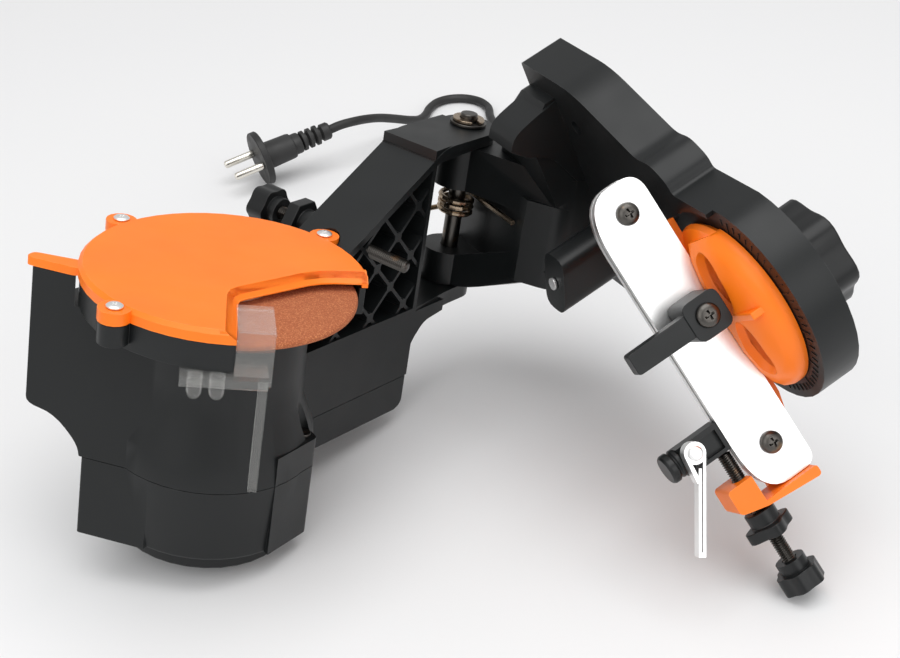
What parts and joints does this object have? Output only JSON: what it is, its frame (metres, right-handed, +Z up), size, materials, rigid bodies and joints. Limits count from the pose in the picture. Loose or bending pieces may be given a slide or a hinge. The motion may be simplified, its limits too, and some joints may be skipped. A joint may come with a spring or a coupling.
{
  "type": "electric saw chain grinder",
  "caption": "Electric saw chain grinder lying on its side: motor head with a grinding wheel, guard and spark shield, hinged base, swivelling chain vise, mains lead.",
  "frame": {"origin": "middle of the footprint of the machine as it lies on the table, without its lead, at table height", "axes": "+Z is up; +X is the long way of the lying machine, from the grinding wheel to the adjusting knob; +Y is towards the lead and its coil"},
  "size_m": [0.3374, 0.5317, 0.178],
  "materials": {
    "black_plastic": "satin black glass-filled nylon with a fine moulded grain",
    "knob_plastic": "satin black moulded knobs",
    "switch_plastic": "glossier black rocker",
    "orange_plastic": "semi-gloss orange moulding",
    "clear_plastic": "clear polycarbonate, slightly smoky",
    "abrasive": "coarse terracotta abrasive grain",
    "bright_steel": "zinc-plated, faintly brushed",
    "dark_steel": "blackened steel",
    "spring_steel": "tempered straw-brown spring steel",
    "core_steel": "laminated core",
    "cord_rubber": "matt black rubber sheath",
    "plug_metal": "nickel-plated pins"
  },
  "bodies": {
    "motor_head": {"head_housing": "black_plastic", "lower_cover": "black_plastic", "motor_end_cap": "black_plastic", "housing_screw": "dark_steel", "motor_stator": "core_steel", "front_bearing": "bright_steel", "rear_bearing": "bright_steel", "guard_back": "black_plastic", "guard_cover": "orange_plastic", "guard_screw_1": "bright_steel", "guard_screw_2": "bright_steel", "guard_screw_3": "bright_steel", "spark_shield": "clear_plastic", "shield_peg_1": "clear_plastic", "shield_peg_2": "clear_plastic", "cord_strain_relief": "cord_rubber", "cord_lead": "cord_rubber", "cord_coil": "cord_rubber", "cord_tail": "cord_rubber", "plug_strain_relief": "cord_rubber", "plug_body": "cord_rubber", "plug_pin_1": "plug_metal", "plug_pin_2": "plug_metal"},
    "wheel_rotor": {"rotor_shaft": "dark_steel", "inner_wheel_flange": "bright_steel", "grinding_wheel": "abrasive", "outer_wheel_flange": "bright_steel", "wheel_nut": "bright_steel"},
    "switch_rocker": {"power_switch_rocker": "switch_plastic"},
    "depth_stop": {"depth_screw": "dark_steel", "depth_screw_knob": "knob_plastic"},
    "depth_lock": {"depth_lock_nut": "knob_plastic"},
    "base": {"hinge_pin": "dark_steel", "hinge_washer": "dark_steel", "hinge_clip": "spring_steel", "torsion_spring": "spring_steel", "base_casting": "black_plastic", "post_screw": "bright_steel"},
    "vise": {"vise_body": "orange_plastic", "front_rail": "bright_steel", "rear_rail": "bright_steel", "rail_screw_1": "dark_steel", "rail_nut_1": "dark_steel", "rail_screw_2": "dark_steel", "rail_nut_2": "dark_steel", "clamp_lever_nut": "dark_steel", "swivel_bolt": "dark_steel"},
    "vise_lock": {"vise_lock_knob": "knob_plastic"},
    "clamp": {"clamp_lever": "black_plastic", "clamp_lever_screw": "dark_steel"},
    "chain_stop_carriage": {"chain_stop": "black_plastic", "stop_knob": "knob_plastic", "pawl_pin": "bright_steel"},
    "pawl": {"chain_pawl": "bright_steel"},
    "adjuster": {"adjusting_screw": "dark_steel", "adjusting_knob": "knob_plastic"},
    "adjuster_lock": {"adjusting_lock_nut": "knob_plastic"}
  },
  "joints": [
    {"name": "head_swing", "type": "hinge", "parent": "motor_head", "child": "base", "pos_m": [0.0073, 0.0875, 0.08897], "axis": [-0.1669, -0.0925, -0.9816], "range_deg": [0, 40], "stiffness_Nm_per_rad": 0.35, "springref_deg": -20.05, "deforming": ["torsion_spring"]},
    {"name": "wheel_spin", "type": "hinge", "parent": "motor_head", "child": "wheel_rotor", "pos_m": [-0.08703, -0.03619, 0.11666], "axis": [0.1669, 0.0925, 0.9816], "continuous": true},
    {"name": "switch_rock", "type": "hinge", "parent": "motor_head", "child": "switch_rocker", "pos_m": [-0.15172, -0.03483, 0.10206], "axis": [-0.597, -0.7829, 0.1753], "range_deg": [-6, 0]},
    {"name": "depth_screw_advance", "type": "slide", "parent": "motor_head", "child": "depth_stop", "axis": [-0.7847, 0.6153, 0.0754], "range_m": [0, 0.008]},
    {"name": "depth_lock_turn", "type": "hinge", "parent": "motor_head", "child": "depth_lock", "pos_m": [-0.04029, 0.02496, 0.10397], "axis": [-0.7847, 0.6153, 0.0754], "range_deg": [-30, 30]},
    {"name": "vise_swivel", "type": "hinge", "parent": "base", "child": "vise", "pos_m": [0.12334, -0.04075, 0.10691], "axis": [-0.8285, -0.4302, -0.3584], "range_deg": [-68, 2]},
    {"name": "vise_lock_turn", "type": "hinge", "parent": "vise", "child": "vise_lock", "pos_m": [0.12334, -0.04075, 0.10691], "axis": [-0.8285, -0.4302, -0.3584], "range_deg": [-60, 60]},
    {"name": "clamp_lever_turn", "type": "hinge", "parent": "vise", "child": "clamp", "pos_m": [0.0993, -0.04828, 0.10455], "axis": [0.2101, -0.8322, 0.5132], "range_deg": [-90, 90]},
    {"name": "chain_stop_slide", "type": "slide", "parent": "vise", "child": "chain_stop_carriage", "axis": [0.5191, -0.3499, -0.7798], "range_m": [-0.008, 0.005]},
    {"name": "adjusting_screw_turn", "type": "hinge", "parent": "chain_stop_carriage", "child": "adjuster", "pos_m": [0.08805, -0.05908, 0.09164], "axis": [0.5191, -0.3499, -0.7798], "range_deg": [-2880, 1800]},
    {"name": "adjusting_lock_turn", "type": "hinge", "parent": "vise", "child": "adjuster_lock", "pos_m": [0.08805, -0.05908, 0.09164], "axis": [0.5191, -0.3499, -0.7798], "range_deg": [-45, 45]},
    {"name": "pawl_swing", "type": "hinge", "parent": "chain_stop_carriage", "child": "pawl", "pos_m": [0.09604, -0.07723, 0.05895], "axis": [0.2101, -0.8322, 0.5132], "range_deg": [-120, 30]}
  ],
  "couplings": [
    {"joint": "adjusting_screw_turn", "follows": "chain_stop_slide", "rad_per_m": 6283.2}
  ]
}
